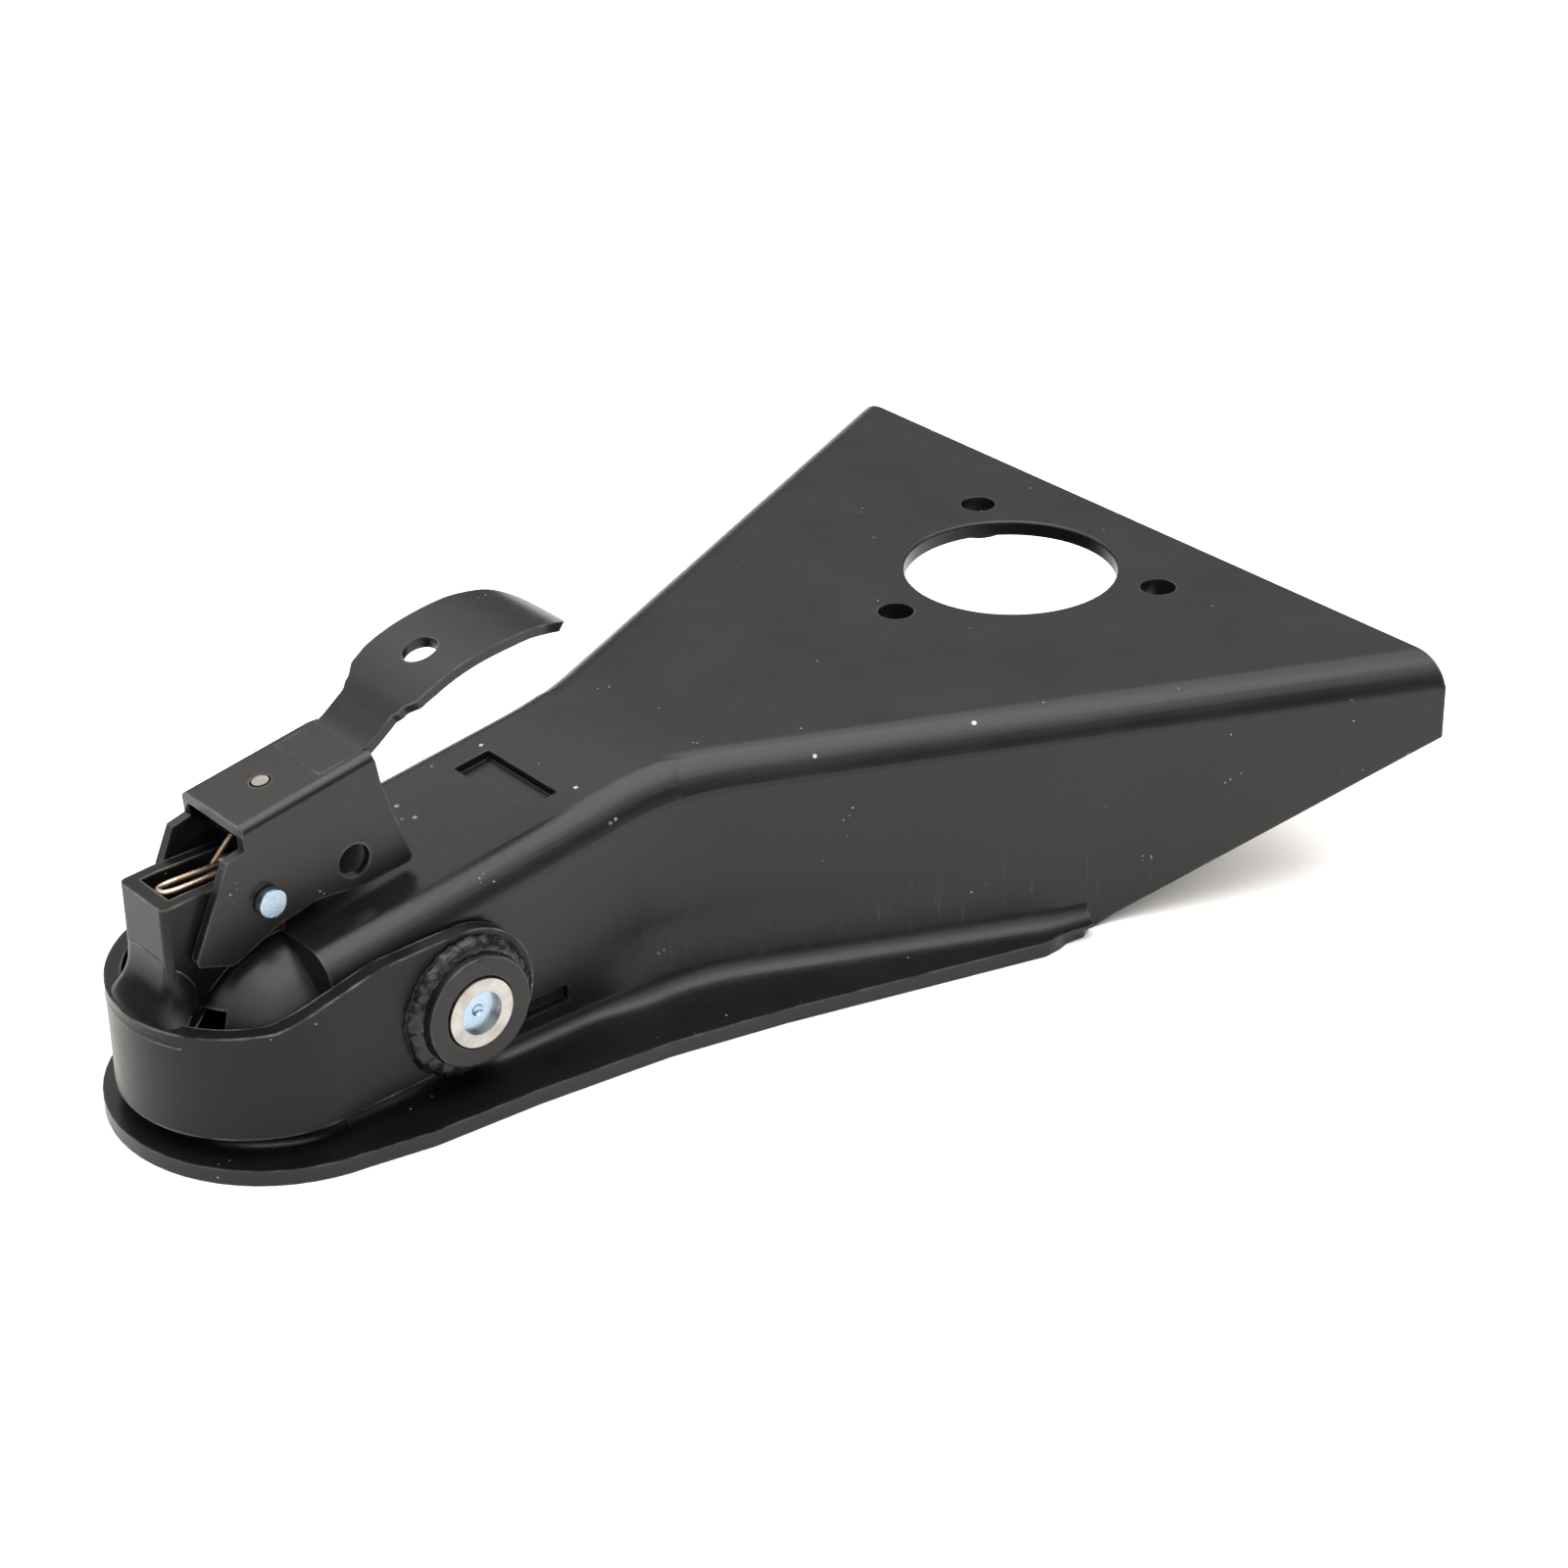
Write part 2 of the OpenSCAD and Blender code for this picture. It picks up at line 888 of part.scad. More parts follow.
module lever() {
    half = lever_w / 2;
    color(black_paint)
        at_lever_pin()
            difference() {
                union() {
                    difference() {
                        across(-half, half)
                            cheek_side();
                        translate([0, 0, -lever_t])
                            across(-half + lever_t, half - lever_t)
                                union() {
                                    cheek_side();
                                    translate([-far, -far])
                                        square([2 * far, far + 10]);
                                    translate([2, -10])
                                        square([20, 32]);
                                    translate([cheek_top_rear[0] - 14, -10])
                                        square([16, cheek_top_rear[1] + 9.5]);
                                }
                    }
                    intersection() {
                        across(-far, far)
                            tongue_side();
                        translate([0, 0, 10])
                            linear_extrude(far)
                                lever_plan();
                    }
                }
                translate([rivet_x, 0, 10])
                    cylinder(h = far, r = rivet_hole_r);
                translate([safety_hole_x, 0, safety_hole_z])
                    cross_cylinder(safety_hole_d / 2, -far, far);
                cross_cylinder(lever_pin_d / 2 + run_gap, -far, far);
            }
}

// Slope of the lever's top plate
plate_slope = atan((cheek_top_rear[1] - cheek_top_front[1]) / (cheek_top_front[0] - cheek_top_rear[0]));

module on_plate() {
    at_lever_pin()
        translate([rivet_x, 0, cheek_top_front[1] + (cheek_top_front[0] - rivet_x) * tan(plate_slope)])
            rotate([0, plate_slope, 0])
                children();
}

// Bent plate under the lever that bears on the neck when the lever is down, just ahead of the safety pin's hole
module hold_down_plate() {
    thick = 3;
    leg = 36;
    rear = -8;
    color(bare_steel)
        on_plate()
            difference() {
                union() {
                    translate([rear, -3.8, -lever_t - thick])
                        cube([15, 7.6, thick]);
                    translate([rear, -3.8, -lever_t - leg])
                        cube([thick, 7.6, leg]);
                }
                translate([0, 0, -far])
                    cylinder(h = 2 * far, r = rivet_r);
            }
}

module lever_rivet() {
    color(zinc)
        on_plate() {
            translate([0, 0, -lever_t - 3 - 1.2])
                cylinder(h = lever_t + 3 + 1.4, r = rivet_r);
            translate([0, 0, -lever_t - 3 - 1.2])
                cylinder(h = 1.2, r = 3.6);
        }
}

channel();
rear_jaw_plate();
pivot_pin();
pivot_spacer();
pivot_bushing_left();
pivot_bushing_right();
pivot_washer_left();
pivot_washer_right();
yoke();
ball_jaw();
boss_left();
boss_right();
boss_weld_left();
boss_weld_right();
lever_pin();
lever_pin_cap();
spring_sleeve();
torsion_spring();
lever();
hold_down_plate();
lever_rivet();
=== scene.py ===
import math

import bmesh
import bpy
from mathutils import Matrix, Vector, noise


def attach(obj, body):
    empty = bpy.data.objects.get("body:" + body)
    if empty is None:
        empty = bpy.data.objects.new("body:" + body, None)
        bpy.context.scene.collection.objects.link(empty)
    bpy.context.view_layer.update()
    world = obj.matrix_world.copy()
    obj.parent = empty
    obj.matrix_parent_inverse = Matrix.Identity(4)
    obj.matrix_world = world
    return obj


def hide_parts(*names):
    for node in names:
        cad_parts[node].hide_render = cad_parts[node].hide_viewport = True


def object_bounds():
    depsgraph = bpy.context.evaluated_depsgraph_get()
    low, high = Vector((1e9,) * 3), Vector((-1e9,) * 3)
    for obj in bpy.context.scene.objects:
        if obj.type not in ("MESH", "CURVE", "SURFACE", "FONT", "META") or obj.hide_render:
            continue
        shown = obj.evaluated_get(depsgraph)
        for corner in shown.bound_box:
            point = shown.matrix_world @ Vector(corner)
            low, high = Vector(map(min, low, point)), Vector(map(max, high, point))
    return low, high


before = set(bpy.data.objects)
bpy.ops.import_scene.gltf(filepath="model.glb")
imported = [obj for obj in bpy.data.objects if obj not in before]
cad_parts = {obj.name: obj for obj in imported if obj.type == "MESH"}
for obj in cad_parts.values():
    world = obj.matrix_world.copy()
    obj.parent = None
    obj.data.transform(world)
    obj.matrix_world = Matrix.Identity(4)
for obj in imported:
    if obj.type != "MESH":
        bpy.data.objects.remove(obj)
cad_low, cad_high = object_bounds()

# Every length below is in metres, in the shared frame
BASE_Z = cad_low.z
ALONG_X = Vector((1, 0, 0))
ALONG_Z = Vector((0, 0, 1))

# Camera, worked out from the photograph: a place, a line of sight, a roll and a long lens
CAMERA_AT = (0.7297, 0.7828, 0.5114)
CAMERA_AZIMUTH = 50.88
CAMERA_ELEVATION = 28.82
CAMERA_ROLL = -1.175
CAMERA_LENS = 86.77
SENSOR = 36.0


def make_camera():
    azimuth = math.radians(CAMERA_AZIMUTH)
    elevation = math.radians(CAMERA_ELEVATION)
    roll = math.radians(CAMERA_ROLL)
    back = Vector((
        math.cos(azimuth) * math.cos(elevation),
        math.sin(azimuth) * math.cos(elevation),
        math.sin(elevation),
    ))
    level_right = (-back).cross(ALONG_Z).normalized()
    level_up = level_right.cross(-back)
    right = math.cos(roll) * level_right + math.sin(roll) * level_up
    up = math.cos(roll) * level_up - math.sin(roll) * level_right
    data = bpy.data.cameras.new("camera")
    data.sensor_width = SENSOR
    data.lens = CAMERA_LENS
    data.clip_start = 0.01
    data.clip_end = 50
    camera = bpy.data.objects.new("camera", data)
    camera.matrix_world = Matrix((
        (right.x, up.x, back.x, CAMERA_AT[0]),
        (right.y, up.y, back.y, CAMERA_AT[1]),
        (right.z, up.z, back.z, CAMERA_AT[2]),
        (0, 0, 0, 1),
    ))
    bpy.context.scene.collection.objects.link(camera)
    bpy.context.scene.camera = camera


make_camera()


# Materials
class Nodes:
    """Short ways to add nodes to a tree."""

    def __init__(self, tree):
        self.tree = tree

    def node(self, kind, **settings):
        made = self.tree.nodes.new(kind)
        for key, value in settings.items():
            setattr(made, key, value)
        return made

    def link(self, source, target):
        self.tree.links.new(source, target)

    def map_range(self, value, low, high, to_low=0.0, to_high=1.0, kind="LINEAR"):
        made = self.node("ShaderNodeMapRange", interpolation_type=kind)
        made.inputs["From Min"].default_value = low
        made.inputs["From Max"].default_value = high
        made.inputs["To Min"].default_value = to_low
        made.inputs["To Max"].default_value = to_high
        self.link(value, made.inputs["Value"])
        return made.outputs["Result"]

    def maths(self, operation, a, b):
        made = self.node("ShaderNodeMath", operation=operation)
        for socket, value in zip(made.inputs, (a, b)):
            if isinstance(value, (int, float)):
                socket.default_value = value
            else:
                self.link(value, socket)
        return made.outputs["Value"]

    def height_of(self, coordinates):
        split = self.node("ShaderNodeSeparateXYZ")
        self.link(coordinates, split.inputs[0])
        return split.outputs["Z"]


class Material(Nodes):
    """A node material with a Principled shader, built up by small steps."""

    def __init__(self, name):
        self.material = bpy.data.materials.new(name)
        self.material.use_nodes = True
        super().__init__(self.material.node_tree)
        self.shader = self.tree.nodes["Principled BSDF"]
        self.coordinates = self.node("ShaderNodeTexCoord").outputs["Object"]

    def stretched(self, scale):
        mapping = self.node("ShaderNodeMapping")
        mapping.inputs["Scale"].default_value = scale
        self.link(self.coordinates, mapping.inputs["Vector"])
        return mapping.outputs["Vector"]

    def noise(self, scale, detail=3.0, rough=0.55, vector=None):
        made = self.node("ShaderNodeTexNoise")
        made.inputs["Scale"].default_value = scale
        made.inputs["Detail"].default_value = detail
        made.inputs["Roughness"].default_value = rough
        self.link(vector or self.coordinates, made.inputs["Vector"])
        return made.outputs["Fac"]

    def cells(self, scale):
        made = self.node("ShaderNodeTexVoronoi")
        made.inputs["Scale"].default_value = scale
        self.link(self.coordinates, made.inputs["Vector"])
        return made.outputs["Distance"]

    def mix(self, factor, a, b):
        made = self.node("ShaderNodeMix", data_type="RGBA")
        self.link(factor, made.inputs["Factor"])
        for socket, value in ((made.inputs[6], a), (made.inputs[7], b)):
            if isinstance(value, tuple):
                socket.default_value = (*value, 1)
            else:
                self.link(value, socket)
        return made.outputs[2]

    def bump(self, height, strength, distance, normal=None):
        made = self.node("ShaderNodeBump")
        made.inputs["Strength"].default_value = strength
        made.inputs["Distance"].default_value = distance
        self.link(height, made.inputs["Height"])
        if normal is not None:
            self.link(normal, made.inputs["Normal"])
        return made.outputs["Normal"]

    def edges(self, radius, low, high):
        """1 on the outward edges that wear first, 0 elsewhere."""
        bevel = self.node("ShaderNodeBevel", samples=4)
        bevel.inputs["Radius"].default_value = radius
        geometry = self.node("ShaderNodeNewGeometry")
        dot = self.node("ShaderNodeVectorMath", operation="DOT_PRODUCT")
        self.link(bevel.outputs["Normal"], dot.inputs[0])
        self.link(geometry.outputs["Normal"], dot.inputs[1])
        worn = self.map_range(dot.outputs["Value"], high, low)
        outward = self.map_range(geometry.outputs["Pointiness"], 0.5, 0.52)
        return self.maths("MULTIPLY", worn, outward)


PAINT_DARK = (0.0030, 0.0030, 0.00312)
PAINT_LIGHT = (0.0060, 0.0060, 0.00608)
CHIP_GREY = (0.22, 0.22, 0.21)
RUBBED_STEEL = (0.17, 0.16, 0.15)
KNOCK_PALE = (0.42, 0.40, 0.38)
SCORED_GREY = (0.016, 0.016, 0.016)


def with_chips(m, colour):
    """Chips down to grey primer, small and few."""
    place = m.map_range(m.noise(60, 2), 0.66, 0.69)
    shape = m.map_range(m.cells(420), 0.16, 0.10)
    return m.mix(m.maths("MULTIPLY", place, shape), colour, CHIP_GREY)


def rubbed_edges(m, worn):
    """Where the paint is rubbed through on the outward edges, in broken runs."""
    edge = m.edges(0.0012, 0.86, 0.995)
    broken = m.map_range(m.noise(120, 4), 0.36, 0.66)
    return m.maths("MULTIPLY", m.maths("MULTIPLY", edge, broken), worn)


def with_knocks(m, colour):
    """A few pale knocks along the upper bend of the channel."""
    height = m.height_of(m.coordinates)
    bend = m.maths("MULTIPLY", m.map_range(height, -0.010, -0.008), m.map_range(height, -0.0006, -0.0014))
    spots = m.maths(
        "MULTIPLY",
        m.map_range(m.cells(150), 0.14, 0.09),
        m.map_range(m.noise(45, 2), 0.56, 0.58),
    )
    return m.mix(m.maths("MULTIPLY", spots, bend), colour, KNOCK_PALE)


def press_marks(m):
    """Upright marks that the press left where the wall turns into the flange."""
    marks = m.noise(1.0, 2, 0.6, m.stretched((420, 420, 14)))
    split = m.node("ShaderNodeSeparateXYZ")
    m.link(m.coordinates, split.inputs[0])
    above = m.map_range(split.outputs["Z"], BASE_Z + 0.006, BASE_Z + 0.014)
    below = m.map_range(split.outputs["Z"], BASE_Z + 0.034, BASE_Z + 0.018)
    behind = m.map_range(split.outputs["X"], 0.185, 0.15)
    zone = m.maths("MULTIPLY", m.maths("MULTIPLY", above, below), behind)
    return m.maths("MULTIPLY", m.map_range(marks, 0.60, 0.74), zone)


def black_paint(name, worn, shine, pressed=False):
    """Semi-gloss black paint over steel: fine orange peel, dusty variation, chips and rubbed edges."""
    m = Material(name)
    cloud = m.noise(28, 4)
    grain = m.noise(900, 3)
    colour = m.mix(m.map_range(cloud, 0.3, 0.7), PAINT_DARK, PAINT_LIGHT)
    colour = with_chips(m, colour)
    rubbed = rubbed_edges(m, worn)
    colour = m.mix(rubbed, colour, RUBBED_STEEL)
    rough = m.maths(
        "ADD",
        m.map_range(cloud, 0.25, 0.75, 0.27, 0.35),
        m.map_range(grain, 0.3, 0.7, -0.02, 0.04),
    )
    rough = m.maths("ADD", rough, m.maths("MULTIPLY", rubbed, -0.1))
    normal = m.bump(grain, 0.06, 0.0004)
    normal = m.bump(m.noise(170, 2), 0.05, 0.001, normal)
    if pressed:
        colour = with_knocks(m, colour)
        scored = press_marks(m)
        colour = m.mix(scored, colour, SCORED_GREY)
        normal = m.bump(scored, 0.12, 0.0006, normal)
    m.link(colour, m.shader.inputs["Base Color"])
    m.link(rough, m.shader.inputs["Roughness"])
    m.link(normal, m.shader.inputs["Normal"])
    m.shader.inputs["Specular IOR Level"].default_value = shine
    return m.material


def bare_metal(name, colour, rough, tint=None):
    """Bare or plated steel: a fine grain, small stains, and a tint that comes and goes."""
    m = Material(name)
    cloud = m.noise(160, 3)
    grain = m.noise(1400, 2)
    stain = tint or tuple(share * 0.72 for share in colour)
    m.link(m.mix(m.map_range(cloud, 0.35, 0.65), stain, colour), m.shader.inputs["Base Color"])
    m.link(m.map_range(grain, 0.3, 0.7, rough - 0.06, rough + 0.1), m.shader.inputs["Roughness"])
    m.link(m.bump(grain, 0.08, 0.0003), m.shader.inputs["Normal"])
    m.shader.inputs["Metallic"].default_value = 1.0
    return m.material


PAINT_CHANNEL = black_paint("paint_channel", worn=0.35, shine=0.31, pressed=True)
PAINT_YOKE = black_paint("paint_yoke", worn=1.0, shine=0.18)
PAINT_LEVER = black_paint("paint_lever", worn=0.5, shine=0.36)
PAINT_BOSS = black_paint("paint_boss", worn=0.6, shine=0.30)
PAINT_WELD = black_paint("paint_weld", worn=0.8, shine=0.32)
STEEL = bare_metal("bare_steel", (0.40, 0.385, 0.36), 0.32)
DULL_STEEL = bare_metal("dull_steel", (0.33, 0.31, 0.29), 0.42)
ZINC = bare_metal("zinc_plate", (0.36, 0.43, 0.50), 0.28, tint=(0.28, 0.38, 0.48))
WIRE = bare_metal("spring_wire", (0.40, 0.33, 0.27), 0.34, tint=(0.30, 0.22, 0.16))

FINISH = {
    "channel": PAINT_CHANNEL,
    "yoke": PAINT_YOKE,
    "boss_left": PAINT_BOSS,
    "boss_right": PAINT_BOSS,
    "boss_weld_left": PAINT_BOSS,
    "boss_weld_right": PAINT_BOSS,
    "lever": PAINT_LEVER,
    "pivot_bushing_left": STEEL,
    "pivot_bushing_right": STEEL,
    "pivot_washer_left": ZINC,
    "pivot_washer_right": ZINC,
    "pivot_pin": ZINC,
    "pivot_spacer": ZINC,
    "lever_pin": ZINC,
    "lever_pin_cap": ZINC,
    "lever_rivet": DULL_STEEL,
    # The rear jaw plate takes black paint: partly the plate's own paint, partly painted shade that darkens its tab
    # inside the slot
    "rear_jaw_plate": PAINT_BOSS,
    "ball_jaw": DULL_STEEL,
    "spring_sleeve": STEEL,
    "hold_down_plate": DULL_STEEL,
    "torsion_spring": WIRE,
}

for node_name, finish in FINISH.items():
    node_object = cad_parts[node_name]
    node_object.data.materials.clear()
    node_object.data.materials.append(finish)


# Shape helpers
SEAM = 2e-6
FLAT_ANGLE = math.radians(0.3)
SHARP_ANGLE = math.radians(32)
ROUNDED_FROM = math.radians(35)


def smooth_by_angle():
    """A modifier's node group: joins the seams of the CAD faces and shades smooth below a sharp angle."""
    group = bpy.data.node_groups.new("smooth_by_angle", "GeometryNodeTree")
    group.interface.new_socket("Geometry", in_out="INPUT", socket_type="NodeSocketGeometry")
    group.interface.new_socket("Geometry", in_out="OUTPUT", socket_type="NodeSocketGeometry")
    nodes = group.nodes
    start = nodes.new("NodeGroupInput")
    merge = nodes.new("GeometryNodeMergeByDistance")
    merge.inputs["Distance"].default_value = SEAM
    faces = nodes.new("GeometryNodeSetShadeSmooth")
    faces.domain = "FACE"
    edges = nodes.new("GeometryNodeSetShadeSmooth")
    edges.domain = "EDGE"
    edges.inputs["Shade Smooth"].default_value = False
    angle = nodes.new("GeometryNodeInputMeshEdgeAngle")
    sharp = nodes.new("FunctionNodeCompare")
    sharp.operation = "GREATER_THAN"
    sharp.inputs[1].default_value = SHARP_ANGLE
    end = nodes.new("NodeGroupOutput")
    links = group.links
    links.new(start.outputs[0], merge.inputs["Geometry"])
    links.new(merge.outputs[0], faces.inputs["Geometry"])
    links.new(faces.outputs[0], edges.inputs["Geometry"])
    links.new(angle.outputs["Unsigned Angle"], sharp.inputs[0])
    links.new(sharp.outputs["Result"], edges.inputs["Selection"])
    links.new(edges.outputs[0], end.inputs[0])
    return group


SMOOTH = smooth_by_angle()


def link(obj):
    bpy.context.scene.collection.objects.link(obj)
    return obj


def soften(piece, width=0.0, angle=SHARP_ANGLE, whole_faces=True):
    """Joins the seams, rounds the sharp edges by width and shades the rest smooth, with flat faces kept flat."""
    weld = piece.modifiers.new("weld", "WELD")
    weld.merge_threshold = SEAM
    if width > 0:
        if whole_faces:
            flat = piece.modifiers.new("flat", "DECIMATE")
            flat.decimate_type = "DISSOLVE"
            flat.angle_limit = FLAT_ANGLE
        bevel = piece.modifiers.new("bevel", "BEVEL")
        bevel.width = width
        bevel.segments = 2
        bevel.limit_method = "ANGLE"
        bevel.angle_limit = angle
    shade = piece.modifiers.new("shade", "NODES")
    shade.node_group = SMOOTH
    normals = piece.modifiers.new("normals", "WEIGHTED_NORMAL")
    normals.keep_sharp = True
    normals.weight = 80


def copy_of(node):
    """A CAD node's shape as a new mesh with its seams joined and its flat faces whole."""
    shape = bmesh.new()
    shape.from_mesh(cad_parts[node].data)
    bmesh.ops.remove_doubles(shape, verts=shape.verts, dist=SEAM)
    bmesh.ops.dissolve_limit(shape, angle_limit=FLAT_ANGLE, verts=shape.verts, edges=shape.edges)
    return shape


def mesh_from(shape, name):
    mesh = bpy.data.meshes.new(name)
    shape.to_mesh(mesh)
    shape.free()
    return mesh


def piece_from(shape, name, body, material, replaces=None):
    mesh = mesh_from(shape, name)
    mesh.materials.append(material)
    piece = link(bpy.data.objects.new(name, mesh))
    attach(piece, body)
    if replaces:
        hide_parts(replaces)
    return piece


def cut_along(shape, axis, places):
    """Adds lines of vertices where the planes across the axis meet the shape."""
    for place in places:
        bmesh.ops.bisect_plane(
            shape,
            geom=shape.verts[:] + shape.edges[:] + shape.faces[:],
            plane_co=axis * place,
            plane_no=axis,
            dist=1e-6,
        )


def round_edges(shape, pick, width, segments, along=None):
    """Rounds the sharp edges whose two ends both satisfy pick and, if along is given, that run mostly that way."""
    edges = [
        edge for edge in shape.edges
        if len(edge.link_faces) == 2 and edge.calc_face_angle(0) > ROUNDED_FROM
        and all(pick(vertex.co) for vertex in edge.verts)
        and (along is None or abs((edge.verts[1].co - edge.verts[0].co).normalized().dot(along)) > 0.6)
    ]
    bmesh.ops.bevel(
        shape, geom=edges, offset=width, offset_type="OFFSET", segments=segments,
        profile=0.5, affect="EDGES", clamp_overlap=True,
    )


def smooth_step(value, low, high):
    t = min(max((value - low) / (high - low), 0.0), 1.0)
    return t * t * (3 - 2 * t)


def catmull(points, per_span):
    """A smooth line through the points."""
    made = []
    for k in range(len(points) - 1):
        p0 = Vector(points[max(k - 1, 0)])
        p1, p2 = Vector(points[k]), Vector(points[k + 1])
        p3 = Vector(points[min(k + 2, len(points) - 1)])
        for j in range(per_span):
            t = j / per_span
            made.append(0.5 * (2 * p1 + (p2 - p0) * t + (2 * p0 - 5 * p1 + 4 * p2 - p3) * t * t
                               + (3 * p1 - p0 - 3 * p2 + p3) * t ** 3))
    made.append(Vector(points[-1]))
    return made


# Channel: soft bends where body and neck meet, walls that lean into the flange, rounded rims
KINK_X = 0.1602
KINK_SPAN = 0.016
KINK_CUTS = 8
WALL_SLOPE = math.tan(math.radians(25))
NECK_Y = 0.0348
NECK_FALL = 0.14
JACK_R = 0.03335
RIM_ROUND = 0.0016
RECESS_FROM, RECESS_TO, RECESS_HALF = 0.186, 0.206, 0.018
RECESS_ROUND = 0.0009
CHANNEL_ROUND = 0.0005
FLANGE_TOP = BASE_Z + 0.0048
SWEEP_HEIGHT = 0.022
SWEEP_OUT = 0.005
SWEEP_LEVELS = 11
# The lean grows over the first pair of stations along x and dies out over the second
SWEEP_GROWS = (0.040, 0.066)
SWEEP_DIES = (0.172, 0.199)
SWEEP_STATIONS = (0.040, 0.0465, 0.053, 0.0595, 0.066, 0.1813, 0.186, 0.190, 0.1945, 0.199)
# The foot of a wall reaches this far inward and outward of the wall's outer face
FOOT_INWARD, FOOT_OUTWARD = 0.0075, 0.0060


def kink_offset(x):
    """How far a parabola stands off the corner between two straight lines, as a share of their change of slope."""
    t = abs(x - KINK_X)
    return 0.0 if t >= KINK_SPAN else (KINK_SPAN - t) ** 2 / (4 * KINK_SPAN)


def sweep_out(x, height):
    """How far the foot of a wall leans out where it turns into the flange."""
    along = smooth_step(x, *SWEEP_GROWS) * (1 - smooth_step(x, *SWEEP_DIES))
    up = min(max(height / SWEEP_HEIGHT, 0.0), 1.0)
    return SWEEP_OUT * (1 - up) ** 2 * along


def lean_wall(place):
    away = abs(place.y)
    wall = NECK_Y + max(KINK_X - place.x, 0) * WALL_SLOPE
    if wall - FOOT_INWARD < away < wall + FOOT_OUTWARD and place.x < 0.2:
        place.y += math.copysign(sweep_out(place.x, place.z - FLANGE_TOP), place.y)


def soften_kink(place, away):
    """Moves a vertex that stood this far away from the middle plane on to the soft bend."""
    offset = kink_offset(place.x)
    if offset == 0:
        return
    near_wall = smooth_step(away, 0.012, 0.027) * (1 - smooth_step(away, 0.046, 0.066))
    place.y += math.copysign(offset * WALL_SLOPE * near_wall, place.y)
    place.z -= offset * NECK_FALL * smooth_step(place.z, -0.03, -0.012)


def on_jack_rim(at):
    return abs(at.xy.length - JACK_R) < 1e-4 and at.z > -0.001


def on_recess(at):
    return RECESS_FROM < at.x < RECESS_TO and abs(at.y) < RECESS_HALF and at.z > -0.014


def channel_shell():
    shape = copy_of("channel")
    kink_stations = [KINK_X + KINK_SPAN * k / KINK_CUTS for k in range(-KINK_CUTS, KINK_CUTS + 1)]
    levels = [FLANGE_TOP + SWEEP_HEIGHT * k / SWEEP_LEVELS for k in range(1, SWEEP_LEVELS + 1)]
    cut_along(shape, ALONG_X, kink_stations)
    cut_along(shape, ALONG_X, SWEEP_STATIONS)
    cut_along(shape, ALONG_Z, levels)
    for vertex in shape.verts:
        away = abs(vertex.co.y)
        lean_wall(vertex.co)
        soften_kink(vertex.co, away)
    round_edges(shape, on_jack_rim, RIM_ROUND, 4)
    round_edges(shape, on_recess, RECESS_ROUND, 3)
    piece = piece_from(shape, "channel_shell", "frame", PAINT_CHANNEL, "channel")
    soften(piece, CHANNEL_ROUND, angle=ROUNDED_FROM, whole_faces=False)


# Lever: the CAD shape with its two bends rounded. Offsets of the plate and handle are from the lever's pin
PIN_X, PIN_Z = 0.285, -0.003
PLATE_FRONT = (0.006, 0.0238)
PLATE_REAR = (-0.037, 0.0314)
PLATE_SLOPE = (PLATE_REAR[1] - PLATE_FRONT[1]) / (PLATE_REAR[0] - PLATE_FRONT[0])
PLATE_END = PIN_X + PLATE_REAR[0] + 0.0008
HANDLE_ABOVE = PIN_Z + 0.0275
CORNER_ABOVE = PIN_Z + 0.0305
CHEEK_Y = 0.015
LEVER_BEND = 0.0028
LEVER_ROUND = 0.0005


def drop_handle(shape):
    """Takes the CAD handle off behind the plate, where the smooth one takes over."""
    cut_along(shape, ALONG_X, [PLATE_END])
    handle_faces = [
        face for face in shape.faces
        if face.calc_center_median().x < PLATE_END and face.calc_center_median().z > HANDLE_ABOVE
    ]
    bmesh.ops.delete(shape, geom=handle_faces, context="FACES")


def close_corners(shape):
    """Draws the short steps at the plate's two rear corners together into one vertex each."""
    for side in (1, -1):
        steps = [
            vertex for vertex in shape.verts
            if vertex.co.y * side > CHEEK_Y - 1e-4 and vertex.co.x < PLATE_END + 1e-5
            and vertex.co.z > CORNER_ABOVE
        ]
        corner = Vector((PIN_X + PLATE_REAR[0], side * CHEEK_Y, PIN_Z + PLATE_REAR[1]))
        bmesh.ops.pointmerge(shape, verts=steps, merge_co=corner)


def on_lever_bend(at):
    plate = PIN_Z + PLATE_FRONT[1] + (at.x - PIN_X - PLATE_FRONT[0]) * PLATE_SLOPE
    return abs(abs(at.y) - CHEEK_Y) < 1e-4 and abs(at.z - plate) < 2e-4


def lever_shell():
    shape = copy_of("lever")
    drop_handle(shape)
    close_corners(shape)
    round_edges(shape, on_lever_bend, LEVER_BEND, 6, along=ALONG_X)
    piece = piece_from(shape, "lever_shell", "lever", PAINT_LEVER, "lever")
    soften(piece, LEVER_ROUND)


# Handle: one sheet along a smooth curve, points as (x, z) of the sheet's middle and (x, half width)
SHEET = 0.003
HANDLE_LINE = [(-0.022, 0.02725), (-0.031, 0.02884), (-0.037, 0.0302), (-0.044, 0.0350), (-0.051, 0.0404),
               (-0.059, 0.0449), (-0.068, 0.0479), (-0.078, 0.04965), (-0.088, 0.05022), (-0.097, 0.0490),
               (-0.104, 0.0460), (-0.109, 0.0424)]
HANDLE_HALF_WIDTHS = [(-0.022, 0.0112), (-0.046, 0.0114), (-0.0485, 0.0128), (-0.053, 0.0159), (-0.058, 0.0165),
                      (-0.082, 0.0165), (-0.094, 0.0154)]
HANDLE_END = HANDLE_LINE[-1][0]
HANDLE_TIP = 0.0170
TIP_WIDEST, TIP_LEAST = 0.0154, 0.0010
HANDLE_STEPS = 30
HANDLE_COLUMNS = 14
HANDLE_HOLE = (PIN_X - 0.064, 0, PIN_Z + 0.047)
HANDLE_HOLE_R = 0.005
HANDLE_ROUND = 0.0006


